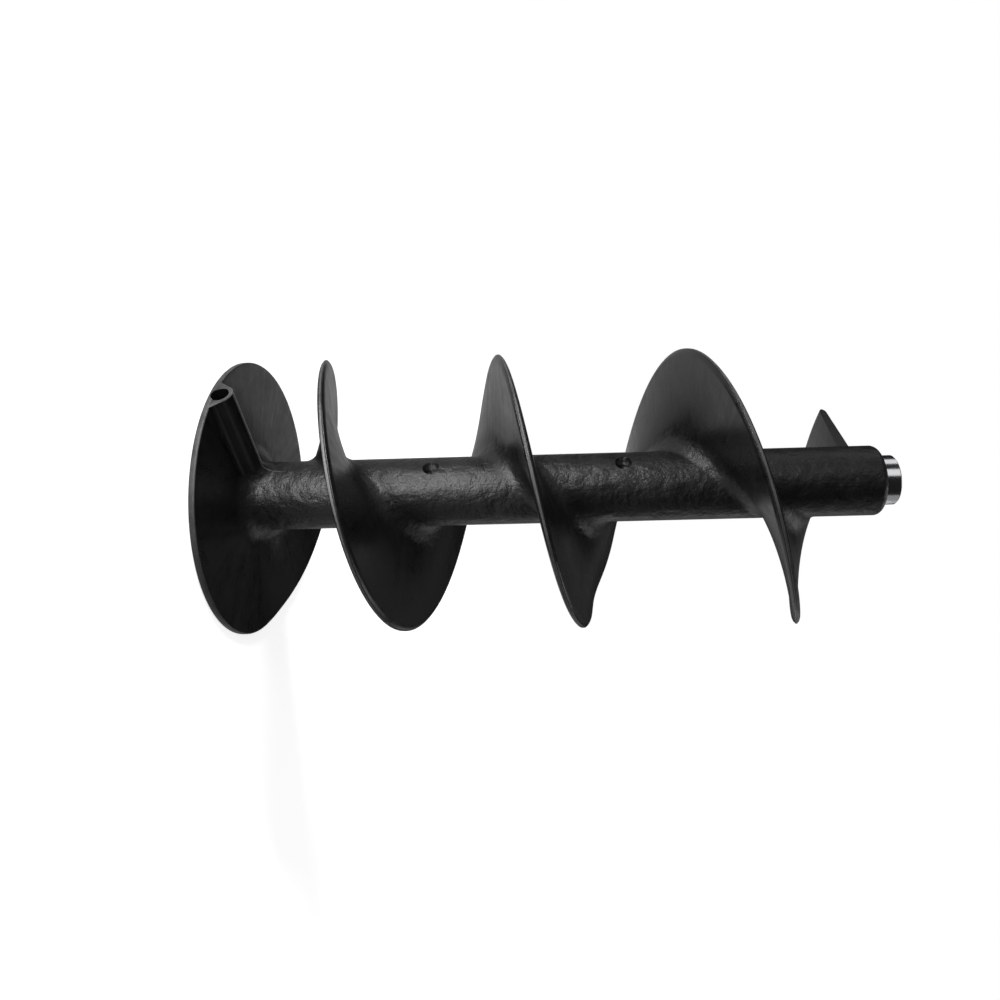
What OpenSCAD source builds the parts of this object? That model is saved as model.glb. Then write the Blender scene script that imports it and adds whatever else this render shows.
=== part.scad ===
// Screw conveyor auger: one moulded body on a steel core tube.
// The axis is Z, and the part stands on the outer face of its end disc, which is at z = 0.
// Angles turn about Z, and are counted from +X towards +Y.

/* [Flight] */
// Outer diameter of the flight and of the end disc
outer_d = 150; // [120:1:200]
// Turns of the flight, from the end disc to the radial cut at its end
flight_turns = 3.295; // [1.5:0.005:3.3]
// Rise of the flight in a turn at the feed end
feed_pitch = 95; // [80:1:100]
// Rise of the flight in a turn at the discharge end
discharge_pitch = 115; // [85:1:120]
// Turns after which the pitch begins to open
opening_starts = 1.85; // [0.5:0.05:2.5]
// Turns over which the pitch opens
opening_lasts = 0.5; // [0.2:0.05:1]
// Direction in which the flight leaves the disc, in degrees
flight_angle = 21; // [0:1:359]
// Thickness of the blade just inside its rim, along the axis
rim_t = 4.2; // [3:0.1:6]
// Thickness of the blade at the hub, along the axis
root_t = 7.2; // [6:0.1:10]
// Width of the land that stands out along the middle of the rim
rim_land = 1.3; // [0.6:0.1:2.4]
// How far the land stands out of the rim
rim_step = 0.6; // [0.2:0.1:1]
// Depth of the rounded nose behind the land
rim_nose = 5; // [2:0.5:8]
// Radius of the fillet between the blade and the hub
root_fillet = 10; // [5:0.5:13]
// Height over which the blade blends into the end disc that it grows out of
start_blend = 4; // [1:0.5:6]

/* [Dent] */
// How far the rim is pushed towards the disc at the dent
dent_depth = 4.5; // [0:0.1:6]
// Turns along the flight to the middle of the dent
dent_at = 2.02; // [0.5:0.01:3]
// Half width of the dent, in degrees
dent_spread = 20; // [10:1:40]

/* [End disc] */
// Thickness of the disc
disc_t = 3.2; // [2.5:0.1:6]
// Radius of the fillet between the disc and the hub
disc_fillet = 11; // [5:0.5:13]
// Rounding of both corners of the disc's rim
disc_round = 0.9; // [0.3:0.1:1.2]

/* [Hub] */
// Diameter of the hub
hub_d = 38; // [34:1:50]
// Length of the hub, from the disc's outer face
hub_l = 345.5; // [340:0.5:400]
// Rounding of the hub's free end
hub_round = 3.5; // [2:0.5:7]

/* [Radial holes] */
// Direction of the holes in the hub and of the radial socket, in degrees
hole_angle = 227; // [0:1:359]
// Diameter of the two holes in the hub, which end on the core tube
hub_hole_d = 9; // [6:0.5:12]
// Height of the first hole in the hub
hub_hole_first = 103.5; // [60:0.5:120]
// Distance from the first hole in the hub to the second
hub_hole_spacing = 104; // [80:0.5:130]
// Bore of the radial socket on the disc
socket_d = 9; // [6:0.5:11]
// Wall of the radial socket
socket_wall = 2; // [1.5:0.1:3]
// Height of the socket's centre line
socket_z = 5.6; // [5:0.1:8]
// Radius of the fillets along the socket
socket_fillet = 4; // [2:0.5:6]
// Radius of the flare where the socket joins the hub
socket_flare = 7; // [3:0.5:9]

/* [Core tube] */
// Outer diameter of the steel core tube
core_d = 26.9; // [22:0.1:28]
// Wall of the core tube, which leaves its bore for the drive shaft
core_wall = 3.2; // [1.5:0.1:4]
// How far the core tube stands out of the hub
core_stand = 8.5; // [4:0.5:20]
// Chamfer on the core tube's free end
core_chamfer = 0.6; // [0.3:0.1:1]
// Gap between the core tube and the body moulded on it
core_clearance = 0; // [0:0.01:0.1]

/* [Hidden] */

outer_r = outer_d/2;
hub_r = hub_d/2;
core_r = core_d/2;
core_bore_r = core_r - core_wall;
core_l = hub_l + core_stand;
socket_r = socket_d/2 + socket_wall;
hub_hole_heights = [hub_hole_first, hub_hole_first + hub_hole_spacing];

// Degrees between the flight's sections
section_step = 10;
// Degrees between the points of a rounded outline
arc_step = 18;
// Steps round half of the socket's tube, and along its flare
tube_steps = 12;
flare_steps = 5;
// A fillet starts this many degrees up its arc, so that it meets the hub at a clear angle
fillet_start = 14;
// How far a surface runs on inside its neighbour
sink = 0.15;
// Depth to which the blade's root is buried in the hub
root_sink = 1.5;
// How far a cutting tool runs past the face it cuts
past = 1;

// Points on a circle from angle a to angle b, both included
function arc(centre, r, a, b, step = arc_step) =
    let (n = max(2, ceil(abs(b - a)/step)))
    [for (i = [0:n]) let (t = a + (b - a)*i/n) centre + r*[cos(t), sin(t)]];

function clamp(x, low, high) = min(max(x, low), high);

// The larger of two heights, rounded over where they lie within k of each other
function blend(a, b, k) = max(a, b) + max(k - abs(a - b), 0)^2/(4*k);

// Rise that the opening pitch adds after m turns: the pitch changes as a smooth step
function opened(m) =
    let (u = max(0, (m - opening_starts)/opening_lasts), v = min(u, 1))
    opening_lasts*(v^3 - v^4/2 + max(u - 1, 0));

// Height of the blade's middle after m turns
function flight_z(m) = disc_t/2 + feed_pitch*m + (discharge_pitch - feed_pitch)*opened(m);

// How far the dent pushes the blade down after m turns, at radius r
function dent(m, r) =
    let (reach = clamp((r - hub_r)/(outer_r - hub_r), 0, 1))
    dent_depth*reach^2*exp(-((m - dent_at)*360/dent_spread)^2);

// Height of the disc's inner side at radius r, with its fillet and the rounding of its rim
function disc_face(r) =
    let (
        d = clamp(hub_r + disc_fillet - r, 0, disc_fillet),
        e = clamp(r - outer_r + disc_round, 0, disc_round)
    )
    disc_t + disc_fillet - sqrt(disc_fillet^2 - d^2) - disc_round + sqrt(disc_round^2 - e^2);

// Half of the blade's thickness at radius r, between its fillet and its nose
function blade_half(r) = (root_t + (rim_t - root_t)*(r - hub_r)/(outer_r - rim_nose - hub_r))/2;

// Upper half of the blade's section, from inside the hub to the rim, as [radius, height]
root_half = blade_half(hub_r);
nose_half = blade_half(outer_r - rim_nose);
shoulder_half = (rim_land/2 + nose_half)/2;
upper_half = concat(
    [[hub_r - root_sink, root_half + root_fillet]],
    [for (p = arc([hub_r + root_fillet, root_fillet], root_fillet, 180 + fillet_start, 270))
        [p[0], p[1] + blade_half(p[0])]],
    [[(hub_r + root_fillet + outer_r - rim_nose)/2, (blade_half(hub_r + root_fillet) + nose_half)/2]],
    [for (a = [90:-arc_step:0])
        [outer_r - rim_nose, shoulder_half]
            + [(rim_nose - rim_step)*cos(a), (nose_half - shoulder_half)*sin(a)]],
    [[outer_r - rim_step + sink, rim_land/2 + sink], [outer_r, rim_land/2]]
);
last = len(upper_half) - 1;
section = concat(upper_half, [for (i = [last:-1:0]) [upper_half[i][0], -upper_half[i][1]]]);

// Share of the root fillet that fits below the rounding of the hub's free end after m turns
function fillet_share(m) =
    clamp((hub_l - hub_round - flight_z(m) - root_half)/root_fillet, sink, 1);

// The blade as one swept solid. It begins inside the disc, which hides its first section,
// and its rim is tucked in until it has risen out of the disc.
module flight() {
    count = len(section);
    m_start = -(disc_t/2 + start_blend)/feed_pitch;
    steps = ceil((flight_turns - m_start)*360/section_step);
    points = [for (i = [0:steps])
        let (
            m = m_start + (flight_turns - m_start)*i/steps,
            a = flight_angle + 360*m,
            tuck = sink*clamp(1 - m*feed_pitch/disc_t, 0, 1)
        )
        for (p = section)
            let (
                r = p[0] - tuck,
                spare = p[0] < hub_r + root_fillet && p[1] > 0 ? p[1] - blade_half(p[0]) : 0,
                z = flight_z(m) - dent(m, r) + p[1] - spare*(1 - fillet_share(m)),
                held = p[1] > 0 ? blend(disc_face(r) - sink, z, start_blend) : max(disc_t/3, z)
            )
            [r*cos(a), r*sin(a), held]];
    sides = [for (i = [0:steps - 1]) for (j = [0:count - 1])
        let (k = (j + 1)%count, p = i*count, q = p + count)
        each [[p + j, q + k, p + k], [p + j, q + j, q + k]]];
    start_cap = [for (j = [0:last - 1]) [j, j + 1, count - 2 - j, count - 1 - j]];
    end_cap = [for (f = start_cap) [for (k = [3:-1:0]) steps*count + f[k]]];
    polyhedron(points, concat(sides, start_cap, end_cap));
}

// Hub, end disc and the fillet between them, in one turned outline
module hub_and_disc() {
    disc_top = disc_t - disc_round;
    rotate_extrude($fn = 128)
        polygon(concat(
            [[0, 0]],
            arc([outer_r - disc_round, disc_round], disc_round, -90, 0),
            arc([outer_r - disc_round, disc_top], disc_round, 0, 90),
            arc([hub_r + disc_fillet, disc_t + disc_fillet], disc_fillet, 270, 180),
            arc([hub_r - hub_round, hub_l - hub_round], hub_round, 0, 90),
            [[0, hub_l]]
        ));
}

// A cylinder that points outwards from the axis, in the radial holes' direction, at height z
module radial(z, r, from, to) {
    rotate([0, 0, hole_angle])
        translate([from, 0, z])
            rotate([0, 90, 0])
                cylinder(r = r, h = to - from, $fn = 64);
}

// Section of the socket's tube with a fillet along each side, as [across, height].
// grow is what the flare adds to the tube's radius.
function tube_section(grow) =
    let (
        r = socket_r + grow,
        seat = disc_t + socket_fillet - sink,
        reach = sqrt((r + socket_fillet)^2 - (seat - socket_z)^2),
        lean = asin((seat - socket_z)/(r + socket_fillet)),
        half = concat(
            [[reach, disc_t/3]],
            [for (p = arc([reach, seat], socket_fillet, 270, 180 + lean, 15)) p],
            [for (i = [1:tube_steps])
                let (t = lean + (90 - lean)*i/tube_steps)
                [r*cos(t), socket_z + r*sin(t)]]
        )
    )
    concat(half, [for (i = [len(half) - 2:-1:0]) [-half[i][0], half[i][1]]]);

// What the flare adds at a distance from the hub
function flared(d) = socket_flare - sqrt(socket_flare^2 - clamp(socket_flare - d, 0, socket_flare)^2);

// Tube along the disc, from the hub to the rim. Its flare follows the round of the hub.
module socket() {
    root_r = hub_r - sink;
    length = outer_r + past - hub_r;
    distances = concat(
        [for (i = [0:flare_steps]) socket_flare*(1 - cos(90*i/flare_steps))],
        [length/2, length]
    );
    rings = concat(
        [[for (p = tube_section(socket_flare)) [0, p[0], p[1]]]],
        [for (d = distances)
            [for (p = tube_section(flared(d)))
                let (x = sqrt(root_r^2 - min(abs(p[0]), root_r - sink)^2))
                [x + (outer_r + past - x)*d/length, p[0], p[1]]]]
    );
    count = len(rings[0]);
    sides = [for (i = [0:len(rings) - 2]) for (j = [0:count - 1])
        let (k = (j + 1)%count, p = i*count, q = p + count)
        each [[p + j, q + k, p + k], [p + j, q + j, q + k]]];
    inner_cap = [for (j = [0:floor(count/2) - 1]) [j, j + 1, count - 2 - j, count - 1 - j]];
    outer_cap = [for (f = inner_cap) [for (k = [3:-1:0]) (len(rings) - 1)*count + f[k]]];
    intersection() {
        rotate([0, 0, hole_angle])
            polyhedron([for (ring = rings) each ring], concat(sides, inner_cap, outer_cap));
        cylinder(r = outer_r, h = hub_l/2, $fn = 128);
    }
}

// The moulded body: hub, disc, flight and socket in one piece, with its bores
module auger_body() {
    color("#232323")
        difference() {
            union() {
                hub_and_disc();
                flight();
                socket();
            }
            translate([0, 0, -past])
                cylinder(r = core_r + core_clearance, h = hub_l + 2*past, $fn = 96);
            radial(socket_z, socket_d/2, 0, outer_r + past);
            for (z = hub_hole_heights)
                radial(z, hub_hole_d/2, 0, hub_r + past);
        }
}

// The steel core tube that the body is moulded on, drilled where the socket meets it
module core_tube() {
    color("#b9bcc0")
        difference() {
            rotate_extrude($fn = 96)
                polygon([
                    [core_bore_r, 0],
                    [core_r, 0],
                    [core_r, core_l - core_chamfer],
                    [core_r - core_chamfer, core_l],
                    [core_bore_r, core_l]
                ]);
            radial(socket_z, socket_d/2, 0, core_r + past);
        }
}

auger_body();
core_tube();
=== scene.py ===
"""Dresses the screw conveyor auger: a black moulded screw on a bright steel core tube.

The screw stands on the outer face of its end disc, at z = 0, with its axis along +Z.
Sizes are in millimetres until a mesh is made, and in metres from then on.
"""

import logging
import math
from dataclasses import dataclass, field
from enum import Enum
from typing import Any, Callable, Sequence

import bmesh
import bpy
from mathutils import Matrix, Vector


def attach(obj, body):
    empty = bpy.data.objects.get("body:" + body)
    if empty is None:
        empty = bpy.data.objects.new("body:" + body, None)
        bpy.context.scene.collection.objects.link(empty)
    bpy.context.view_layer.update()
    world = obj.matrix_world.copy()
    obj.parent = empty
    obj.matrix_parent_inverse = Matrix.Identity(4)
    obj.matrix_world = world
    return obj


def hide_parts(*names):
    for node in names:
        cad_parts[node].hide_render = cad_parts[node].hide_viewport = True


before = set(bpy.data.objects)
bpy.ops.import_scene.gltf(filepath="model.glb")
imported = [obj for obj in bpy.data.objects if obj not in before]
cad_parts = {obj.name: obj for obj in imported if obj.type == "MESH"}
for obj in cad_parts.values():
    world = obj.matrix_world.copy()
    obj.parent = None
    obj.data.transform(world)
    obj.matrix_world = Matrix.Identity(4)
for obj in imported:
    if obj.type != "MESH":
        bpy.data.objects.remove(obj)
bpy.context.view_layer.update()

MM = 0.001
SAME = 1e-4  # points closer than this, in millimetres, are one
LOG = logging.getLogger("auger")

# node types that are used again and again
MATH = "ShaderNodeMath"
VECTOR = "ShaderNodeVectorMath"
NOISE = "ShaderNodeTexNoise"
RAMP = "ShaderNodeMapRange"  # value, from low, from high, to start, to end
MIX = "ShaderNodeMix"
BUMP = "ShaderNodeBump"
CAPTURE = "GeometryNodeCaptureAttribute"

Point2 = tuple[float, float]
Point3 = tuple[float, float, float]
Feeds = dict[int | str, Any] | Sequence[Any]


def linear(hex_colour: str) -> tuple[float, float, float, float]:
    """Turn an sRGB colour into the linear one that shaders take.

    Args:
        hex_colour: Six hexadecimal digits, red first, after a hash sign.

    Returns:
        Red, green, blue and an alpha of 1.
    """
    parts = [int(hex_colour[i : i + 2], 16) / 255 for i in (1, 3, 5)]
    lit = [c / 12.92 if c <= 0.04045 else ((c + 0.055) / 1.055) ** 2.4 for c in parts]
    return lit[0], lit[1], lit[2], 1.0


def add(
    tree: bpy.types.NodeTree,
    kind: str,
    feeds: Feeds = (),
    out: int | str = 0,
    keeps: str = "",
    **settings: Any,
) -> Any:
    """Add a node with its settings and links.

    Args:
        tree: The node tree that gets the node.
        kind: The node's type name.
        feeds: Values or sockets for the inputs, in order, or by the input's name or number.
        out: Name or number of the output to give back.
        keeps: Type of the value that a capture node keeps.
        **settings: Properties of the node itself.

    Returns:
        The chosen output socket, or the node where it has none.
    """
    node = tree.nodes.new(kind)
    if keeps:
        node.capture_items.new(keeps, "Value")
    for name, value in settings.items():
        setattr(node, name, value)
    pairs = feeds.items() if isinstance(feeds, dict) else enumerate(feeds)
    for key, value in pairs:
        if isinstance(value, bpy.types.NodeSocket):
            tree.links.new(value, node.inputs[key])
        elif value is not None:
            node.inputs[key].default_value = value
    return node.outputs[out] if node.outputs else node


class Axis(Enum):
    """Which way a turned piece points."""

    UP = "up"
    RADIAL = "radial"


class Join(Enum):
    """What a tool does to the piece that it meets."""

    ADD = "UNION"
    REMOVE = "DIFFERENCE"


# ---------------------------------------------------------------- finishes


@dataclass(frozen=True)
class BlackMoulding:
    """Injection-moulded black polyamide: semi-gloss, wrinkled on the hub, streaked on the blades.

    Its outermost edges and the mould's parting ridge are a lighter grey: partly rubbed by
    handling, partly a painted highlight where these edges catch the light.
    """

    name: str = "black moulded polyamide"
    slot: str = "black_moulding"
    base: str = "#070707"
    cloud: str = "#131313"
    # the edges' lighter grey: partly rubbed wear, partly a painted highlight
    rubbed_and_highlight: str = "#424242"
    cloud_mm: float = 9.0
    wrinkle_mm: float = 5.5
    grain_mm: float = 0.9
    streak_mm: float = 2.6
    streak_r: float = 55.0  # where a streak has that width
    cloud_deep: float = 1.6
    wrinkle_deep: float = 0.55
    grain_deep: float = 0.03
    blade_relief: float = 0.08
    hub_relief: float = 0.9
    grain_relief: float = 0.15
    hub_r: float = 19.0
    blade_r: float = 34.0
    outer_r: float = 75.0
    rim_pale_band: float = 0.6
    ridge_angle: float = 227.0
    ridge_z: float = 12.2
    ridge_half: float = 0.3
    ridge_soft: float = 0.15
    ridge_step: float = 0.1
    ridge_fade: Point2 = (4.0, 12.0)
    rough_low: float = 0.22
    rough_high: float = 0.42
    rough_pale_edge: float = 0.5
    hub_extra: float = 0.13
    ior: float = 1.5

    def make(self) -> bpy.types.Material:
        """Build the material.

        Returns:
            The finished material.
        """
        material = bpy.data.materials.new(self.name)
        material.use_nodes = True
        tree = material.node_tree
        shader = tree.nodes["Principled BSDF"]
        place = add(tree, "ShaderNodeTexCoord", out="Object")

        # distance from the axis, and the direction from it that streaks follow
        flat = add(tree, VECTOR, [place, (1.0, 1.0, 0.0)], operation="MULTIPLY")
        radius = add(tree, VECTOR, [flat], out="Value", operation="LENGTH")
        spoke = add(tree, VECTOR, [flat], operation="NORMALIZE")
        drawn = add(tree, VECTOR, [place, (1.0, 1.0, 0.55)], operation="MULTIPLY")
        hub = add(tree, RAMP, [radius, self.blade_r * MM, self.hub_r * MM, 0.0, 1.0])

        marks = []
        for where, size_mm, detail, rough, warp in (
            # clouds: patches of a slightly greyer, rougher skin, and soft dents in the hub
            (place, self.cloud_mm, 4.0, 0.6, 0.0),
            # wrinkles: flow marks along the hub, that fade out on the blades
            (drawn, self.wrinkle_mm, 3.0, 0.55, 0.3),
            # grain: the mould's fine texture
            (place, self.grain_mm, 2.0, 0.5, 0.0),
            # streaks: faint drawn lines that run out along the blades
            (spoke, self.streak_mm / self.streak_r / MM, 3.0, 0.6, 0.0),
        ):
            looks = {"Scale": 1 / (size_mm * MM), "Detail": detail, "Roughness": rough}
            marks.append(add(tree, NOISE, {"Vector": where, "Distortion": warp} | looks))
        cloud, wrinkle, grain, streak = marks

        # tone: streaks and clouds together move the colour and the gloss
        tone = add(tree, MATH, [streak, 0.5, 0.0], operation="MULTIPLY_ADD")
        tone = add(tree, MATH, [cloud, 0.5, tone], operation="MULTIPLY_ADD")
        tone = add(tree, RAMP, [tone, 0.30, 0.70, 0.0, 1.0])
        shades = {0: tone, 6: linear(self.base), 7: linear(self.cloud)}
        colour = add(tree, MIX, shades, out=2, data_type="RGBA")
        rough = add(tree, RAMP, [tone, 0.0, 1.0, self.rough_low, self.rough_high])
        rough = add(tree, MATH, [hub, self.hub_extra, rough], operation="MULTIPLY_ADD")

        # lighter edges, partly rubbed wear and partly a painted highlight: the land, the disc's
        # rim and the socket's mouth, in patches
        edge = self.outer_r - self.rim_pale_band
        rim = add(tree, RAMP, [radius, edge * MM, (edge + self.rim_pale_band / 2) * MM, 0.0, 1.0])
        patchy = add(tree, RAMP, [cloud, 0.35, 0.6, 0.5, 1.0])
        rim = add(tree, MATH, [rim, patchy], operation="MULTIPLY")
        # and a thin painted highlight along the parting ridge, partly rubbed wear too, which fades
        # out up the hub
        turn = math.radians(self.ridge_angle)
        across = (math.sin(turn), -math.cos(turn), 0.0)
        aside = add(tree, VECTOR, [place, across], out="Value", operation="DOT_PRODUCT")
        aside = add(tree, MATH, [aside], operation="ABSOLUTE")
        wide = self.ridge_half + self.ridge_soft
        line = add(tree, RAMP, [aside, self.ridge_half * MM, wide * MM, 1.0, 0.0])
        rise = add(tree, "ShaderNodeSeparateXYZ", [place], out="Z")
        below = self.ridge_z - self.ridge_step
        above = add(tree, RAMP, [rise, below * MM, self.ridge_z * MM, 0.0, 1.0])
        fade = [(self.ridge_z + height) * MM for height in self.ridge_fade]
        near = add(tree, RAMP, [rise, *fade, 1.0, 0.0])
        line = add(tree, MATH, [line, above], operation="MULTIPLY")
        line = add(tree, MATH, [line, near], operation="MULTIPLY")
        rubbed_and_highlight = add(tree, MATH, [rim, line], operation="MAXIMUM")
        # the edge mask's lighter grey is partly rubbed wear and partly a painted highlight
        pale_edge_shades = {0: rubbed_and_highlight, 6: colour, 7: linear(self.rubbed_and_highlight)}
        colour = add(tree, MIX, pale_edge_shades, out=2, data_type="RGBA")
        rough = add(tree, MIX, {0: rubbed_and_highlight, 2: rough, 3: self.rough_pale_edge}, out=0)

        # the skin's relief: strong on the hub, almost none on the blades
        depth = add(tree, RAMP, [hub, 0.0, 1.0, self.blade_relief, self.hub_relief])
        skin = None
        for height, strength, deep in (
            (cloud, depth, self.cloud_deep),
            (wrinkle, depth, self.wrinkle_deep),
            (grain, self.grain_relief, self.grain_deep),
        ):
            relief = {"Height": height, "Strength": strength, "Distance": deep * MM}
            skin = add(tree, BUMP, relief | {"Normal": skin})
        tree.links.new(colour, shader.inputs["Base Color"])
        tree.links.new(rough, shader.inputs["Roughness"])
        tree.links.new(skin, shader.inputs["Normal"])
        shader.inputs["IOR"].default_value = self.ior
        return material


@dataclass(frozen=True)
class TurnedSteel:
    """Bright drawn steel tube, turned at its end: fine rings round the axis."""

    name: str = "turned bright steel"
    slot: str = "steel_tube"
    base: str = "#e2e3e5"
    ring_mm: float = 0.35
    ring_deep: float = 0.05
    relief: float = 0.15
    stretch: float = 0.02  # rings hardly change round the axis
    rough_low: float = 0.12
    rough_high: float = 0.26

    def make(self) -> bpy.types.Material:
        """Build the material.

        Returns:
            The finished material.
        """
        material = bpy.data.materials.new(self.name)
        material.use_nodes = True
        tree = material.node_tree
        shader = tree.nodes["Principled BSDF"]
        place = add(tree, "ShaderNodeTexCoord", out="Object")
        squeeze = {"Vector": place, "Scale": (self.stretch, self.stretch, 1.0)}
        flat = add(tree, "ShaderNodeMapping", squeeze)
        # rings: the turning marks, which blur what the tube mirrors along its length
        fine = {"Vector": flat, "Scale": 1 / (self.ring_mm * MM), "Detail": 2.0}
        rings = add(tree, NOISE, fine)
        relief = {"Height": rings, "Strength": self.relief, "Distance": self.ring_deep * MM}
        normal = add(tree, BUMP, relief)
        rough = add(tree, RAMP, [rings, 0.0, 1.0, self.rough_low, self.rough_high])
        tree.links.new(normal, shader.inputs["Normal"])
        tree.links.new(rough, shader.inputs["Roughness"])
        shader.inputs["Base Color"].default_value = linear(self.base)
        shader.inputs["Metallic"].default_value = 1.0
        return material


@dataclass(frozen=True)
class StudioFloor:
    """Matt white paper that shows white, takes the screw's shadow and throws little light back."""

    name: str = "white paper sweep"
    base: str = "#f4f4f4"
    bounce: str = "#4a4a4a"
    glow: float = 0.73
    mirrored: float = 0.48

    def make(self) -> bpy.types.Material:
        """Build the material.

        Returns:
            The finished material.
        """
        material = bpy.data.materials.new(self.name)
        material.use_nodes = True
        tree = material.node_tree
        tree.nodes.remove(tree.nodes["Principled BSDF"])
        # the camera sees lit paper with a glow of its own, so only the shadow falls below white
        seen = add(tree, "ShaderNodeLightPath", out="Is Camera Ray")
        paper = add(tree, "ShaderNodeBsdfDiffuse", {"Color": linear(self.base)})
        light = add(tree, "ShaderNodeEmission", {"Color": (1, 1, 1, 1), "Strength": self.glow})
        shown = add(tree, "ShaderNodeAddShader", [paper, light])
        # reflections see bright paper, and every other ray sees plain grey paper
        mirrored = add(tree, "ShaderNodeLightPath", out="Is Glossy Ray")
        glare = {"Color": (1, 1, 1, 1), "Strength": self.mirrored}
        bright = add(tree, "ShaderNodeEmission", glare)
        grey = add(tree, "ShaderNodeBsdfDiffuse", {"Color": linear(self.bounce)})
        other = add(tree, "ShaderNodeMixShader", [mirrored, grey, bright])
        mixed = add(tree, "ShaderNodeMixShader", [seen, other, shown])
        tree.links.new(mixed, tree.nodes["Material Output"].inputs["Surface"])
        return material


# ---------------------------------------------------------------- mesh helpers


def arc(centre: Point2, radius: float, start: float, end: float, steps: int) -> list[Point2]:
    """Points on a circle, both ends included.

    Args:
        centre: The circle's centre.
        radius: Its radius.
        start: First angle, in degrees.
        end: Last angle, in degrees.
        steps: Number of steps between them.

    Returns:
        The points in order.
    """
    turns = [math.radians(start + (end - start) * i / steps) for i in range(steps + 1)]
    return [(centre[0] + radius * math.cos(t), centre[1] + radius * math.sin(t)) for t in turns]


def filled(points: Sequence[Point2], longest: float) -> list[Point2]:
    """Split the long steps of an outline.

    Args:
        points: The outline's points.
        longest: The longest step that may stay, in millimetres.

    Returns:
        The outline with points added on its straight runs.
    """
    out = [points[0]]
    for before, after in zip(points, points[1:]):
        count = max(1, math.ceil(math.dist(before, after) / longest))
        step = [after[0] - before[0], after[1] - before[1]]
        out += [
            (before[0] + step[0] * i / count, before[1] + step[1] * i / count)
            for i in range(1, count + 1)
        ]
    return out


def new_object(name: str, build: Callable[[bmesh.types.BMesh], None]) -> bpy.types.Object:
    """Make an object at the origin from mesh code that works in millimetres.

    Args:
        name: The object's name.
        build: Fills the mesh.

    Returns:
        The new object, with its faces pointing outwards.
    """
    work = bmesh.new()
    build(work)
    bmesh.ops.remove_doubles(work, verts=work.verts, dist=SAME)
    bmesh.ops.recalc_face_normals(work, faces=work.faces)
    bmesh.ops.scale(work, vec=(MM, MM, MM), verts=work.verts)
    mesh = bpy.data.meshes.new(name)
    work.to_mesh(mesh)
    work.free()
    item = bpy.data.objects.new(name, mesh)
    bpy.context.scene.collection.objects.link(item)
    return item


def turned(work: bmesh.types.BMesh, outline: Sequence[Point2], sides: int) -> None:
    """Turn an outline of (radius, height) points round the axis.

    Args:
        work: The mesh to fill.
        outline: The points, with the ends on the axis or the same for a ring.
        sides: Number of steps round the axis.
    """
    rings = []
    for radius, height in outline:
        if radius < SAME:
            rings.append([work.verts.new((0, 0, height))] * sides)
            continue
        turns = [math.tau * i / sides for i in range(sides)]
        spots = [(radius * math.cos(t), radius * math.sin(t), height) for t in turns]
        rings.append([work.verts.new(spot) for spot in spots])
    for low, high in zip(rings, rings[1:]):
        for i in range(sides):
            k = (i + 1) % sides
            corners = list(dict.fromkeys([low[i], low[k], high[k], high[i]]))
            if len(corners) > 2:
                work.faces.new(corners)


def cut(target: bpy.types.Object, tool: bpy.types.Object, how: Join) -> None:
    """Join or cut two closed meshes, and remove the tool.

    Args:
        target: The object that is changed.
        tool: The object that is joined on or cut away.
        how: Which of the two is done.
    """
    modifier = target.modifiers.new("cut", "BOOLEAN")
    modifier.object, modifier.operation, modifier.solver = tool, how.value, "MANIFOLD"
    apply_modifiers(target)
    bpy.data.objects.remove(tool, do_unlink=True)


def drill(
    start: float,
    end: float,
    radius: float,
    sides: int,
    way: Axis,
    height: float = 0,
    angle: float = 0,
) -> bpy.types.Object:
    """Make a round cutting tool.

    Args:
        start: Where it begins along its own axis.
        end: Where it ends.
        radius: Its radius.
        sides: Number of sides.
        way: Which way it points.
        height: Height of a radial tool's axis.
        angle: Bearing of a radial tool's axis, in degrees.

    Returns:
        The tool.
    """
    place = Matrix.Identity(4)
    if way is Axis.RADIAL:
        place = (
            Matrix.Rotation(math.radians(angle), 4, "Z")
            @ Matrix.Translation((0, 0, height))
            @ Matrix.Rotation(math.pi / 2, 4, "Y")
        )

    def fill(work: bmesh.types.BMesh) -> None:
        """Fill the mesh with the tool."""
        turned(work, [(0, start), (radius, start), (radius, end), (0, end)], sides)
        bmesh.ops.transform(work, matrix=place, verts=work.verts)

    return new_object("drill", fill)


def apply_modifiers(item: bpy.types.Object) -> None:
    """Turn an object's modifiers into its plain mesh.

    Args:
        item: The object.
    """
    ready = item.evaluated_get(bpy.context.evaluated_depsgraph_get())
    mesh = bpy.data.meshes.new_from_object(ready)
    item.modifiers.clear()
    old, item.data = item.data, mesh
    mesh.name = item.name
    bpy.data.meshes.remove(old)


# ---------------------------------------------------------------- the moulded body


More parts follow.
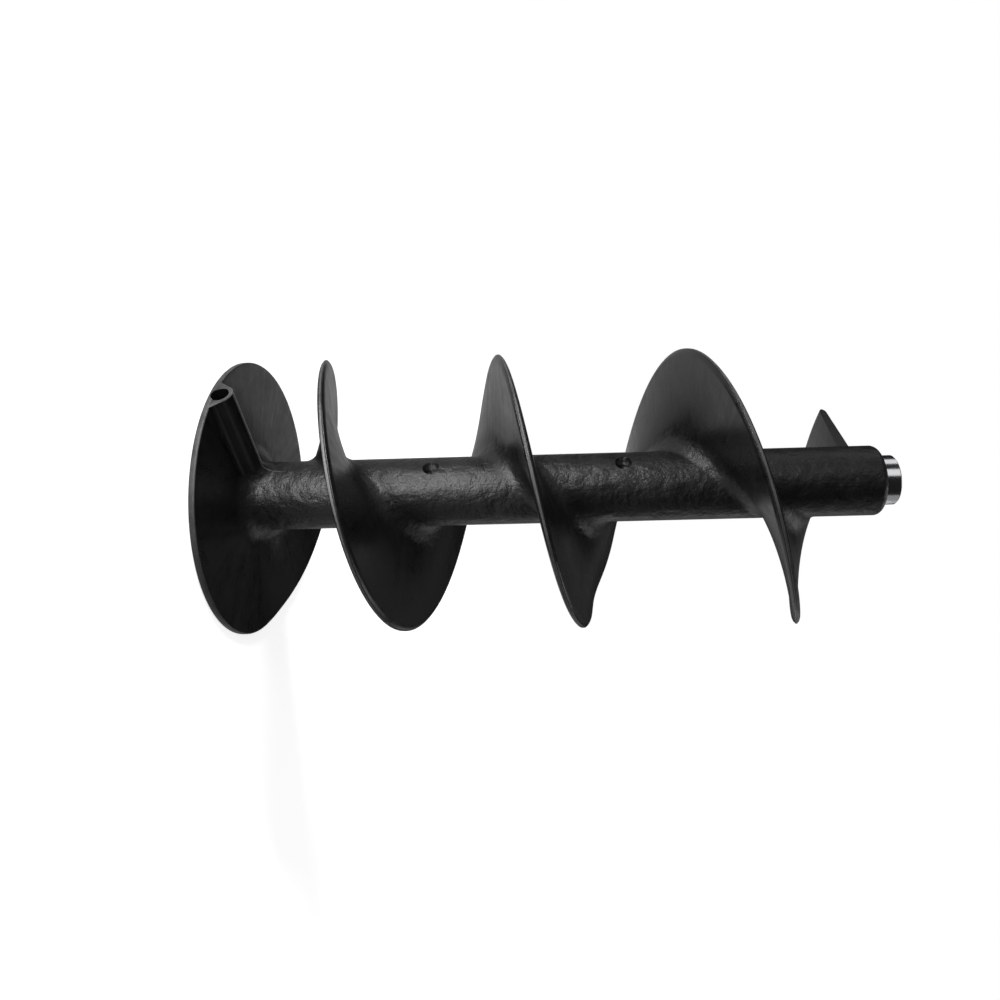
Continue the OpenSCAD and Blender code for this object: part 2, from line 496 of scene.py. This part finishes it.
@dataclass
class Flight:
    """The helical blade: its pitch opens towards the free end, and a land runs along its rim."""

    outer_r: float = 75.0
    hub_r: float = 19.0
    turns: float = 3.295
    start_angle: float = 21.0
    feed_pitch: float = 95.0
    discharge_pitch: float = 115.0
    opening_starts: float = 1.85
    opening_lasts: float = 0.5
    rim_t: float = 4.2
    root_t: float = 7.2
    land: float = 1.1
    step: float = 0.6
    soft: float = 0.14
    nose: float = 5.0
    flank: float = 3.8
    fillet: float = 10.0
    fillet_ceiling: float = 342.0
    dent_depth: float = 4.5
    dent_at: float = 2.02
    dent_spread: float = 20.0
    disc_t: float = 3.2
    disc_round: float = 0.9
    disc_fillet: float = 11.0
    blend: float = 6.0
    sink: float = 0.15  # how deep a hidden face lies inside the disc
    least_fillet: float = 0.15  # the share of the root fillet that is always left
    root_sink: float = 1.2  # how deep the root reaches into the hub
    fillet_start: float = 184.0  # past the hub's tangent, so the fillet has no feather edge
    fillet_steps: int = 16
    blade_steps: int = 14
    flank_steps: int = 9
    steps_a_turn: int = 144

    def half(self, radius: float) -> float:
        """Half of the blade's thickness, between its fillet and its nose.

        Args:
            radius: Distance from the axis.

        Returns:
            Half of the thickness there.
        """
        share = (radius - self.hub_r) / (self.outer_r - self.nose - self.hub_r)
        return (self.root_t + (self.rim_t - self.root_t) * share) / 2

    def section(self) -> list[Point3]:
        """The blade's section, as (radius, height, lift). Lift is the root fillet's own height.

        Returns:
            The closed section, from the upper root round the rim to the lower root.
        """
        nose_r, foot = self.outer_r - self.flank, self.hub_r + self.fillet
        edge, soft = self.land / 2, self.soft
        curve = arc((foot, self.fillet), self.fillet, self.fillet_start, 270, self.fillet_steps)
        fillet = [(r, self.half(r), lift) for r, lift in curve]
        root = [(self.hub_r - self.root_sink, self.half(self.hub_r), fillet[0][2])]
        count = self.blade_steps
        radii = [foot + (nose_r - foot) * i / count for i in range(1, count)]
        blade = [(r, self.half(r), 0.0) for r in radii]
        # the flank bends from the blade to the land on one circle
        reach, drop = self.flank - self.step, self.half(nose_r) - edge - 3 * soft
        bend = (reach**2 + drop**2) / (2 * drop)
        lean = math.degrees(math.asin(reach / bend))
        centre = (nose_r, self.half(nose_r) - bend)
        flank = arc(centre, bend, 90, 90 - lean, self.flank_steps)
        nose = [(r, height, 0.0) for r, height in flank]
        land = [
            (self.outer_r - self.step, edge + 2 * soft, 0.0),
            (self.outer_r - self.step + soft / 2, edge + soft / 2, 0.0),
            (self.outer_r - self.step + 2 * soft, edge, 0.0),
            (self.outer_r - soft, edge - soft / 3, 0.0),
            (self.outer_r, edge - soft, 0.0),
        ]
        upper = root + fillet + blade + nose + land
        return upper + [(r, -height - lift, 0.0) for r, height, lift in reversed(upper)]

    def recipe(self) -> list[tuple[str, ...]]:
        """The sum that places a point of the blade, one step a line.

        Returns:
            Rows of the result's name, the operation and what goes in: a name or a number.
        """
        return [
            # along the blade: turn counts from the end disc, and starts inside it
            ("start", "MULTIPLY_ADD", "Disc thickness", "0.5", "Blend"),
            ("start", "DIVIDE", "start", "Feed pitch"),
            ("length", "ADD", "Turns", "start"),
            ("turn", "MULTIPLY", "along", "length"),
            ("turn", "SUBTRACT", "turn", "start"),
            # the pitch opens
            ("open", "SUBTRACT", "turn", "Opening starts"),
            ("open", "DIVIDE", "open", "Opening lasts"),
            ("open", "MAXIMUM", "open", "0"),
            ("ease", "MINIMUM", "open", "1"),
            ("cube", "POWER", "ease", "3"),
            ("fourth", "POWER", "ease", "4"),
            ("eased", "MULTIPLY_ADD", "fourth", "-0.5", "cube"),
            ("beyond", "SUBTRACT", "open", "ease"),
            ("eased", "ADD", "eased", "beyond"),
            ("eased", "MULTIPLY", "eased", "Opening lasts"),
            ("gain", "SUBTRACT", "Discharge pitch", "Feed pitch"),
            ("gain", "MULTIPLY", "gain", "eased"),
            ("middle", "MULTIPLY_ADD", "turn", "Feed pitch", "gain"),
            ("middle", "MULTIPLY_ADD", "Disc thickness", "0.5", "middle"),
            # the rim is tucked in until it has risen out of the disc
            ("tuck", "MULTIPLY", "turn", "Feed pitch"),
            ("tuck", "DIVIDE", "tuck", "Disc thickness"),
            ("tuck", "SUBTRACT", "1", "tuck"),
            ("tuck", "MAXIMUM", "tuck", "0"),
            ("tuck", "MINIMUM", "tuck", "1"),
            ("tuck", "MULTIPLY", "tuck", "Sink"),
            ("radius", "SUBTRACT", "out", "tuck"),
            # the dent in the rim
            ("away", "SUBTRACT", "turn", "Dent at"),
            ("away", "MULTIPLY", "away", "360"),
            ("away", "DIVIDE", "away", "Dent spread"),
            ("away", "POWER", "away", "2"),
            ("away", "MULTIPLY", "away", "-1"),
            ("away", "EXPONENT", "away"),
            ("lever", "SUBTRACT", "radius", "Hub radius"),
            ("whole", "SUBTRACT", "Outer radius", "Hub radius"),
            ("lever", "DIVIDE", "lever", "whole"),
            ("lever", "MAXIMUM", "lever", "0"),
            ("lever", "POWER", "lever", "2"),
            ("push", "MULTIPLY", "away", "lever"),
            ("push", "MULTIPLY", "push", "Dent depth"),
            # the upper root fillet shrinks below the hub's free end
            ("room", "SUBTRACT", "Fillet ceiling", "middle"),
            ("room", "MULTIPLY_ADD", "Root thickness", "-0.5", "room"),
            ("room", "DIVIDE", "room", "Root fillet"),
            ("room", "MINIMUM", "room", "1"),
            ("room", "MAXIMUM", "room", "Least fillet"),
            ("height", "MULTIPLY_ADD", "lift", "room", "level"),
            ("height", "ADD", "height", "middle"),
            ("height", "SUBTRACT", "height", "push"),
            # the disc's inner side below this point
            ("face", "ADD", "Hub radius", "Disc fillet"),
            ("face", "SUBTRACT", "face", "radius"),
            ("face", "MAXIMUM", "face", "0"),
            ("face", "MINIMUM", "face", "Disc fillet"),
            ("face", "POWER", "face", "2"),
            ("square", "POWER", "Disc fillet", "2"),
            ("face", "SUBTRACT", "square", "face"),
            ("face", "SQRT", "face"),
            ("face", "SUBTRACT", "Disc fillet", "face"),
            ("face", "ADD", "face", "Disc thickness"),
            ("edge", "SUBTRACT", "radius", "Outer radius"),
            ("edge", "ADD", "edge", "Disc rounding"),
            ("edge", "MAXIMUM", "edge", "0"),
            ("edge", "POWER", "edge", "2"),
            ("square", "POWER", "Disc rounding", "2"),
            ("edge", "SUBTRACT", "square", "edge"),
            ("edge", "MAXIMUM", "edge", "0"),
            ("edge", "SQRT", "edge"),
            ("edge", "SUBTRACT", "Disc rounding", "edge"),
            ("face", "SUBTRACT", "face", "edge"),
            ("face", "SUBTRACT", "face", "Sink"),
            # the upper side blends into the disc, and the lower side stays inside it
            ("top", "SMOOTH_MAX", "face", "height", "Blend"),
            ("floor", "DIVIDE", "Disc thickness", "3"),
            ("bottom", "MAXIMUM", "height", "floor"),
            ("upper", "GREATER_THAN", "level", "0"),
            ("height", "SUBTRACT", "top", "bottom"),
            ("height", "MULTIPLY_ADD", "height", "upper", "bottom"),
            # turned into place
            ("bearing", "MULTIPLY_ADD", "turn", "360", "Start angle"),
            ("bearing", "RADIANS", "bearing"),
            ("cosine", "COSINE", "bearing"),
            ("x", "MULTIPLY", "radius", "cosine"),
            ("sine", "SINE", "bearing"),
            ("y", "MULTIPLY", "radius", "sine"),
        ]

    def sizes(self) -> dict[str, float]:
        """The tree's named number inputs.

        Returns:
            Each input's name and its value.
        """
        return {
            "Outer radius": self.outer_r,
            "Hub radius": self.hub_r,
            "Turns": self.turns,
            "Start angle": self.start_angle,
            "Feed pitch": self.feed_pitch,
            "Discharge pitch": self.discharge_pitch,
            "Opening starts": self.opening_starts,
            "Opening lasts": self.opening_lasts,
            "Root thickness": self.root_t,
            "Root fillet": self.fillet,
            "Fillet ceiling": self.fillet_ceiling,
            "Dent depth": self.dent_depth,
            "Dent at": self.dent_at,
            "Dent spread": self.dent_spread,
            "Disc thickness": self.disc_t,
            "Disc rounding": self.disc_round,
            "Disc fillet": self.disc_fillet,
            "Blend": self.blend,
            "Sink": self.sink,
            "Least fillet": self.least_fillet,
        }

    def tree(self, material: bpy.types.Material) -> tuple[bpy.types.NodeTree, dict[str, str]]:
        """Build the Geometry Nodes tree that sweeps the section along the helix.

        Args:
            material: The finish to set.

        Returns:
            The tree, and the identifier of each named input.
        """
        tree = bpy.data.node_groups.new("helical flight", "GeometryNodeTree")
        sockets = dict.fromkeys(self.sizes(), "NodeSocketFloat") | {"Section": "NodeSocketObject"}
        names = {}
        for name, kind in sockets.items():
            socket = tree.interface.new_socket(name, in_out="INPUT", socket_type=kind)
            names[name] = socket.identifier
        tree.interface.new_socket("Geometry", in_out="OUTPUT", socket_type="NodeSocketGeometry")
        inputs = tree.nodes.new("NodeGroupInput")
        known: dict[str, Any] = {name: inputs.outputs[name] for name in names}

        steps = math.ceil(self.turns * self.steps_a_turn)
        line = add(tree, "GeometryNodeCurvePrimitiveLine", {"End": (0.0, 0.0, 1.0)})
        line = add(tree, "GeometryNodeResampleCurve", {"Curve": line, "Count": steps + 1})
        index = add(tree, "GeometryNodeInputIndex")
        share = add(tree, MATH, [index, steps], operation="DIVIDE")
        line = add(tree, CAPTURE, [line, share], keeps="FLOAT")
        known["along"] = line.node.outputs[1]
        ring = add(tree, "GeometryNodeObjectInfo", {"Object": known["Section"]}, out="Geometry")
        place = add(tree, "GeometryNodeInputPosition")
        ring = add(tree, CAPTURE, [ring, place], keeps="VECTOR")
        split = add(tree, "ShaderNodeSeparateXYZ", [ring.node.outputs[1]]).node
        known |= dict(zip(("out", "level", "lift"), split.outputs))
        for name, operation, *feeds in self.recipe():
            values = [known[f] if f in known else float(f) for f in feeds]
            known[name] = add(tree, MATH, values, operation=operation)

        sweep = {"Curve": line, "Profile Curve": ring, "Fill Caps": True}
        tube = add(tree, "GeometryNodeCurveToMesh", sweep)
        point = add(tree, "ShaderNodeCombineXYZ", [known["x"], known["y"], known["height"]])
        metres = add(tree, VECTOR, {0: point, "Scale": MM}, operation="SCALE")
        blade = add(tree, "GeometryNodeSetPosition", {"Geometry": tube, "Position": metres})
        real = add(tree, "GeometryNodeRealizeInstances", {"Geometry": blade})
        dressed = add(tree, "GeometryNodeSetMaterial", {"Geometry": real, "Material": material})
        add(tree, "NodeGroupOutput", [dressed])
        return tree, names

    def outline(self) -> bpy.types.Object:
        """Make the section as a closed curve object.

        Returns:
            The curve.
        """
        points = self.section()
        curve = bpy.data.curves.new("section", "CURVE")
        curve.dimensions = "3D"
        spline = curve.splines.new("POLY")
        spline.points.add(len(points) - 1)
        spline.points.foreach_set("co", [c for p in points for c in (*p, 1.0)])
        spline.use_cyclic_u = True
        item = bpy.data.objects.new("section", curve)
        bpy.context.scene.collection.objects.link(item)
        return item

    def build(self, material: bpy.types.Material) -> bpy.types.Object:
        """Make the blade as a closed mesh.

        Args:
            material: The finish to set.

        Returns:
            The blade.
        """
        item = bpy.data.objects.new("flight", bpy.data.meshes.new("flight"))
        bpy.context.scene.collection.objects.link(item)
        outline = self.outline()
        tree, names = self.tree(material)
        modifier = item.modifiers.new("flight", "NODES")
        modifier.node_group = tree
        for name, value in (self.sizes() | {"Section": outline}).items():
            modifier[names[name]] = value
        apply_modifiers(item)
        bpy.data.objects.remove(outline, do_unlink=True)
        work = bmesh.new()
        work.from_mesh(item.data)
        bmesh.ops.triangulate(work, faces=[f for f in work.faces if len(f.verts) > 4])
        bmesh.ops.recalc_face_normals(work, faces=work.faces)
        work.to_mesh(item.data)
        work.free()
        return item


@dataclass
class Hub:
    """The hub and the end disc, with the fillet between them."""

    hub_r: float = 19.0
    length: float = 345.5
    end_round: float = 3.5
    disc_r: float = 75.0
    disc_t: float = 3.2
    disc_round: float = 0.9
    disc_fillet: float = 11.0
    sides: int = 192
    edge_steps: int = 5
    fillet_steps: int = 16
    end_steps: int = 12
    longest: float = 2.0  # the longest step along the outline

    def build(self) -> bpy.types.Object:
        """Turn the hub and the disc in one outline.

        Returns:
            The hub with its disc.
        """
        edge, top = self.disc_r - self.disc_round, self.disc_t - self.disc_round
        foot, shoulder = self.hub_r + self.disc_fillet, self.hub_r - self.end_round
        fillet = (foot, self.disc_t + self.disc_fillet)
        outline = (
            [(0.0, 0.0)]
            + arc((edge, self.disc_round), self.disc_round, -90, 0, self.edge_steps)
            + arc((edge, top), self.disc_round, 0, 90, self.edge_steps)
            + arc(fillet, self.disc_fillet, 270, 180, self.fillet_steps)
            + arc((shoulder, self.length - self.end_round), self.end_round, 0, 90, self.end_steps)
            + [(0.0, self.length)]
        )
        points = filled(outline, self.longest)
        return new_object("hub", lambda work: turned(work, points, self.sides))


@dataclass
class RadialSocket:
    """The tube along the end disc, from hub to rim, and the mould's parting ridge on it."""

    angle: float = 227.0
    bore_r: float = 4.5
    wall: float = 2.0
    height: float = 5.6
    fillet: float = 4.0
    flare: float = 7.0
    hub_r: float = 19.0
    ridge_top: float = 36.0
    disc_r: float = 75.0
    disc_t: float = 3.2
    sink: float = 0.15
    ridge: float = 0.4
    ridge_foot: float = 0.4
    ridge_width: float = 0.8
    ridge_taper: float = 2.5
    ridge_start: float = 0.5
    start: float = 3.0  # distance from the axis where the tube begins, inside the hub
    steps: int = 16
    far_steps: int = 12
    side_steps: int = 10
    over_steps: int = 16
    turn_steps: int = 12

    def outline(self, grow: float) -> list[Point2]:
        """The tube's section with its side fillets, as (across, height) points.

        Args:
            grow: How far the flare widens the tube here.

        Returns:
            The closed section, without its first point repeated.
        """
        radius = self.bore_r + self.wall + grow
        seat = self.disc_t + self.fillet - self.sink
        reach = math.sqrt((radius + self.fillet) ** 2 - (seat - self.height) ** 2)
        lean = math.degrees(math.atan2(seat - self.height, reach))
        side = arc((reach, seat), self.fillet, 270, 180 + lean, self.side_steps)
        over = arc((0.0, self.height), radius, lean, 90, self.over_steps)
        half = [(reach, self.disc_t / 3)] + side + over[1:]
        return half + [(-y, z) for y, z in reversed(half[:-1])]

    def path(self) -> list[tuple[Vector, Vector]]:
        """The parting ridge's way: in along the tube's crest, round the flare and up the hub.

        It sinks into the hub at its end.

        Returns:
            Places and the directions that point out of the surface, in the plane of the tube.
        """
        crest = self.height + self.bore_r + self.wall
        middle = (self.hub_r + self.flare, crest + self.flare)
        turn = arc(middle, self.flare, 270, 180, self.turn_steps)
        end = (self.hub_r - self.ridge - self.sink, self.ridge_top)
        line = [(self.disc_r - self.ridge_start, crest)] + turn + [end]
        centre = Vector((middle[0], 0, middle[1]))
        spots = [Vector((x, 0, z)) for x, z in line]
        outs = [(centre - spot).normalized() for spot in spots[1:-1]]
        return list(zip(spots, [Vector((0, 0, 1)), *outs, Vector((1, 0, 0))]))

    def bar(self) -> bpy.types.Object:
        """Sweep the parting ridge.

        Returns:
            The ridge, with its foot inside the surface that it stands on.
        """
        wide, deep = self.ridge_width / 2, -self.ridge_foot
        half = [(wide / self.ridge_taper, self.ridge), (wide, 0.0), (wide, deep)]
        shape = [(-y, h) for y, h in reversed(half)] + half
        turn = Matrix.Rotation(math.radians(self.angle), 4, "Z")

        def fill(work: bmesh.types.BMesh) -> None:
            """Fill the mesh with the swept ridge."""
            rings = [
                [work.verts.new(turn @ (spot + Vector((0, y, 0)) + out * h)) for y, h in shape]
                for spot, out in self.path()
            ]
            self.skin(work, rings)

        return new_object("parting_ridge", fill)

    @staticmethod
    def skin(work: bmesh.types.BMesh, rings: list[list[bmesh.types.BMVert]]) -> None:
        """Join rings of points into a closed tube.

        Args:
            work: The mesh.
            rings: The rings, in order.
        """
        count = len(rings[0])
        for low, high in zip(rings, rings[1:]):
            for i in range(count):
                k = (i + 1) % count
                work.faces.new([low[i], low[k], high[k], high[i]])
        for cap in (rings[0], rings[-1]):
            work.faces.new(cap)
        bmesh.ops.triangulate(work, faces=[f for f in work.faces if len(f.verts) > 4])

    def build(self) -> bpy.types.Object:
        """Sweep the section from the hub to the disc's rim. Its flare follows the hub's round.

        Returns:
            The tube, still without its bore.
        """
        root = self.hub_r - self.sink
        length = self.disc_r - self.hub_r
        bends = [math.radians(90 * i / self.steps) for i in range(self.steps + 1)]
        near = [self.flare * (1 - math.cos(bend)) for bend in bends]
        count = self.far_steps
        far = [self.flare + (length - self.flare) * i / count for i in range(1, count + 1)]
        turn = Matrix.Rotation(math.radians(self.angle), 4, "Z")

        def fill(work: bmesh.types.BMesh) -> None:
            """Fill the mesh with the swept tube."""
            mouth = self.outline(self.flare)
            rings = [[work.verts.new(turn @ Vector((self.start, y, z))) for y, z in mouth]]
            for gone in near + far:
                back = min(max(self.flare - gone, 0.0), self.flare)
                ring = []
                for y, z in self.outline(self.flare - math.sqrt(self.flare**2 - back**2)):
                    inner = math.sqrt(root**2 - min(abs(y), root - self.sink) ** 2)
                    outer = math.sqrt(self.disc_r**2 - y**2)
                    along = inner + (outer - inner) * gone / length
                    ring.append(work.verts.new(turn @ Vector((along, y, z))))
                rings.append(ring)
            self.skin(work, rings)

        return new_object("socket", fill)


@dataclass
class AugerBody:
    """The moulded screw: hub, end disc, flight and radial socket in one piece."""

    flight: Flight = field(default_factory=Flight)
    hub: Hub = field(default_factory=Hub)
    socket: RadialSocket = field(default_factory=RadialSocket)
    finish: BlackMoulding = field(default_factory=BlackMoulding)
    core_r: float = 13.45
    hub_hole_r: float = 4.5
    hub_hole_heights: Point2 = (103.5, 207.5)
    spare: float = 2.0  # how far a drill reaches past what it cuts
    core_spare: float = 5.0
    core_sides: int = 160
    hole_sides: int = 64
    sharp_angle: float = 35.0
    sliver: float = 0.02
    merge: float = 0.03

    def build(self) -> bpy.types.Object:
        """Make the body, join its forms, drill it and dress it.

        Returns:
            The finished piece.
        """
        material = self.finish.make()
        body = self.hub.build()
        body.name = "moulded_body"
        cut(body, self.flight.build(material), Join.ADD)
        cut(body, self.socket.build(), Join.ADD)
        cut(body, self.socket.bar(), Join.ADD)
        far = self.hub.length + self.core_spare
        core = drill(-self.spare, far, self.core_r, self.core_sides, Axis.UP)
        cut(body, core, Join.REMOVE)
        holes = [(self.hub.disc_r, self.socket.bore_r, self.socket.height)]
        holes += [(self.hub.hub_r, self.hub_hole_r, height) for height in self.hub_hole_heights]
        for reach, radius, height in holes:
            far, angle = reach + self.spare, self.socket.angle
            hole = drill(0, far, radius, self.hole_sides, Axis.RADIAL, height, angle)
            cut(body, hole, Join.REMOVE)
        self.clean(body)
        body.data.materials.clear()
        body.data.materials.append(material)
        for face in body.data.polygons:
            face.material_index = 0
        return body

    def clean(self, body: bpy.types.Object) -> None:
        """Merge the slivers that joining leaves, and set smooth shading with real edges kept.

        Args:
            body: The piece.
        """
        work = bmesh.new()
        work.from_mesh(body.data)
        bmesh.ops.dissolve_degenerate(work, dist=self.sliver * MM, edges=work.edges)
        bmesh.ops.remove_doubles(work, verts=work.verts, dist=self.merge * MM)
        bmesh.ops.triangulate(work, faces=[f for f in work.faces if len(f.verts) > 4])
        work.to_mesh(body.data)
        work.free()
        body.data.shade_smooth()
        body.data.set_sharp_from_angle(angle=math.radians(self.sharp_angle))


# ---------------------------------------------------------------- the core tube


@dataclass
class CoreTube:
    """The steel tube that the body is moulded on."""

    outer_r: float = 13.45
    wall: float = 3.2
    length: float = 354.0
    seen: float = 9.0  # the length at its end that has rings of its own
    chamfer: float = 0.6
    bore_chamfer: float = 0.5
    pin_r: float = 4.5
    pin_height: float = 5.6
    pin_angle: float = 227.0
    spare: float = 2.0
    sides: int = 192
    hole_sides: int = 64
    sharp_angle: float = 30.0
    finish: TurnedSteel = field(default_factory=TurnedSteel)

    def build(self) -> bpy.types.Object:
        """Turn the tube, drill it and dress it.

        Returns:
            The finished piece.
        """
        inner, top = self.outer_r - self.wall, self.length
        outline = [
            (inner, 0.0),
            (self.outer_r, 0.0),
            (self.outer_r, top - self.seen),
            (self.outer_r, top - self.chamfer),
            (self.outer_r - self.chamfer, top),
            (inner + self.bore_chamfer, top),
            (inner, top - self.bore_chamfer),
            (inner, 0.0),
        ]
        tube = new_object("core_tube_visible", lambda work: turned(work, outline, self.sides))
        far, height, angle = self.outer_r + self.spare, self.pin_height, self.pin_angle
        hole = drill(0, far, self.pin_r, self.hole_sides, Axis.RADIAL, height, angle)
        cut(tube, hole, Join.REMOVE)
        tube.data.materials.clear()
        tube.data.materials.append(self.finish.make())
        tube.data.shade_smooth()
        tube.data.set_sharp_from_angle(angle=math.radians(self.sharp_angle))
        return tube


# ---------------------------------------------------------------- studio


@dataclass
class Studio:
    """Floor, lamps, world and camera."""

    distance: float = 425.276
    station: float = 174.592
    roll: float = 1.486
    yaw: float = -2.134
    pitch: float = 4.752
    sensor: float = 36.0
    # the lens and its shifts, in thousandths of the picture's width
    focal: float = 763.767
    shift_x: float = -32.616
    shift_y: float = -74.5
    floor_size: float = 6.0  # metres
    ambient: float = 0.012

    def camera(self) -> bpy.types.Object:
        """Place the camera. The screw's axis runs across its picture, with the disc on the left.

        Returns:
            The camera.
        """
        roll, yaw, pitch = (math.radians(a) for a in (self.roll, self.yaw, self.pitch))
        level_share = math.cos(pitch)
        ahead = Vector((math.sin(yaw) * level_share, math.cos(yaw) * level_share, math.sin(pitch)))
        level = Vector((math.cos(yaw), -math.sin(yaw), 0))
        above = level.cross(ahead)
        right = level * math.cos(roll) - above * math.sin(roll)
        up = above * math.cos(roll) + level * math.sin(roll)
        lay = Matrix(((0, 0, -1), (0, 1, 0), (1, 0, 0)))
        columns = [lay @ right, lay @ up, lay @ -ahead]
        data = bpy.data.cameras.new("camera")
        data.sensor_width, data.lens = self.sensor, self.sensor * self.focal / 1000
        data.shift_x, data.shift_y = self.shift_x / 1000, self.shift_y / 1000
        data.clip_start, data.clip_end = 0.01, 100.0
        item = bpy.data.objects.new("camera", data)
        turn = Matrix(columns).transposed().to_4x4()
        spot = Vector((0, -self.distance, self.station)) * MM
        item.matrix_world = Matrix.Translation(spot) @ turn
        bpy.context.scene.collection.objects.link(item)
        bpy.context.scene.camera = item
        return item

    def floor(self) -> bpy.types.Object:
        """Lay the floor that the screw stands on.

        Returns:
            The floor.
        """
        half = self.floor_size / 2 / MM
        corners = ((-half, -half), (half, -half), (half, half), (-half, half))

        def fill(work: bmesh.types.BMesh) -> None:
            """Fill the mesh with one square."""
            work.faces.new([work.verts.new((x, y, 0)) for x, y in corners])

        item = new_object("floor", fill)
        item.data.materials.append(StudioFloor().make())
        return item

    def lamp(self, name: str, spot: Point3, aim: Point3, size: Point2, power: float) -> None:
        """Hang one soft box.

        Args:
            name: The lamp's name.
            spot: Where it hangs, in metres.
            aim: What it points at, in metres.
            size: Its extents along the screw's axis and across it, in metres.
            power: Its power, in watts.
        """
        data = bpy.data.lights.new(name, "AREA")
        data.shape, data.size, data.size_y, data.energy = "RECTANGLE", size[0], size[1], power
        self.hang(name, data, spot, aim)

    def sun(self, name: str, spot: Point3, strength: float, spread: float) -> None:
        """Hang a far lamp that lights the whole floor evenly.

        Args:
            name: The lamp's name.
            spot: A place that it shines from, towards the origin.
            strength: Its strength, in watts a square metre.
            spread: Its width as seen from the screw, in degrees.
        """
        data = bpy.data.lights.new(name, "SUN")
        data.energy, data.angle = strength, math.radians(spread)
        self.hang(name, data, spot, (0, 0, 0)).visible_glossy = False

    @staticmethod
    def hang(name: str, data: bpy.types.Light, spot: Point3, aim: Point3) -> bpy.types.Object:
        """Place a lamp and point it.

        Args:
            name: The lamp's name.
            data: Its light.
            spot: Where it hangs, in metres.
            aim: What it points at, in metres.

        Returns:
            The lamp's object.
        """
        item = bpy.data.objects.new(name, data)
        item.location = spot
        item.visible_camera = False
        item.rotation_mode = "QUATERNION"
        item.rotation_quaternion = (Vector(aim) - Vector(spot)).to_track_quat("-Z", "X")
        bpy.context.scene.collection.objects.link(item)
        return item

    def world(self) -> None:
        """Fill the room with a little even light, and show it as white."""
        world = bpy.data.worlds.new("studio")
        world.use_nodes = True
        bpy.context.scene.world = world
        tree = world.node_tree
        camera = add(tree, "ShaderNodeLightPath", out="Is Camera Ray")
        level = add(tree, RAMP, [camera, 0.0, 1.0, self.ambient, 1.0])
        tree.links.new(level, tree.nodes["Background"].inputs["Strength"])
        tree.nodes["Background"].inputs["Color"].default_value = (1, 1, 1, 1)

    def build(self) -> None:
        """Set the studio up."""
        self.camera()
        self.floor()
        self.world()
        # the even light that gives the floor its shadow
        self.sun("overhead", (-1.0, -0.45, 0.42), 2.7, 14)
        self.lamp("front box", (-0.43, -0.44, 0.036), (0, 0, 0.05), (0.065, 0.55), 2.7)
        self.lamp("low panel", (-0.06, -0.20, 0.042), (-0.055, -0.163, 0.135), (0.20, 0.14), 0.6)
        self.lamp("right box", (-0.50, -0.75, 0.72), (0, 0, 0.34), (0.5, 0.5), 0.7)
        self.lamp("top box", (-0.80, 0.05, 0.62), (0, 0, 0.30), (0.6, 0.4), 0.66)
        self.lamp("back box", (-0.3, 1.3, 0.36), (0, 0, 0.12), (0.7, 0.6), 0.6)
        self.lamp("far box", (0.15, 1.2, 1.0), (0, 0, 0.25), (0.5, 0.8), 0.12)
        self.lamp("end box", (0.45, 0.25, 1.10), (0, 0, 0.30), (0.5, 0.5), 1.35)
        self.lamp("rear box", (0.95, 0.80, 0.45), (0, 0, 0.18), (0.8, 0.7), 1.4)
        self.lamp("low box", (0.80, 0.1, 0.62), (0, 0, 0.30), (0.6, 0.6), 0.3)
        # right above, so that the steel's end isn't black from there
        self.lamp("crown box", (0.10, 0.10, 1.5), (0, 0, 0.30), (0.7, 0.7), 0.6)


def main() -> None:
    """Build the pieces in order, dress them, hang them on the root body and hide the imported
    parts.
    """
    logging.basicConfig(level=logging.INFO, format="%(message)s")
    bpy.context.scene.view_settings.view_transform = "Standard"
    Studio().build()
    body = AugerBody().build()
    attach(body, "root")
    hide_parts("auger_body")
    LOG.info("%s: %d faces", body.name, len(body.data.polygons))
    tube = CoreTube().build()
    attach(tube, "root")
    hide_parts("core_tube")
    LOG.info("%s: %d faces", tube.name, len(tube.data.polygons))
    bpy.context.view_layer.update()


if __name__ == "__main__":
    main()
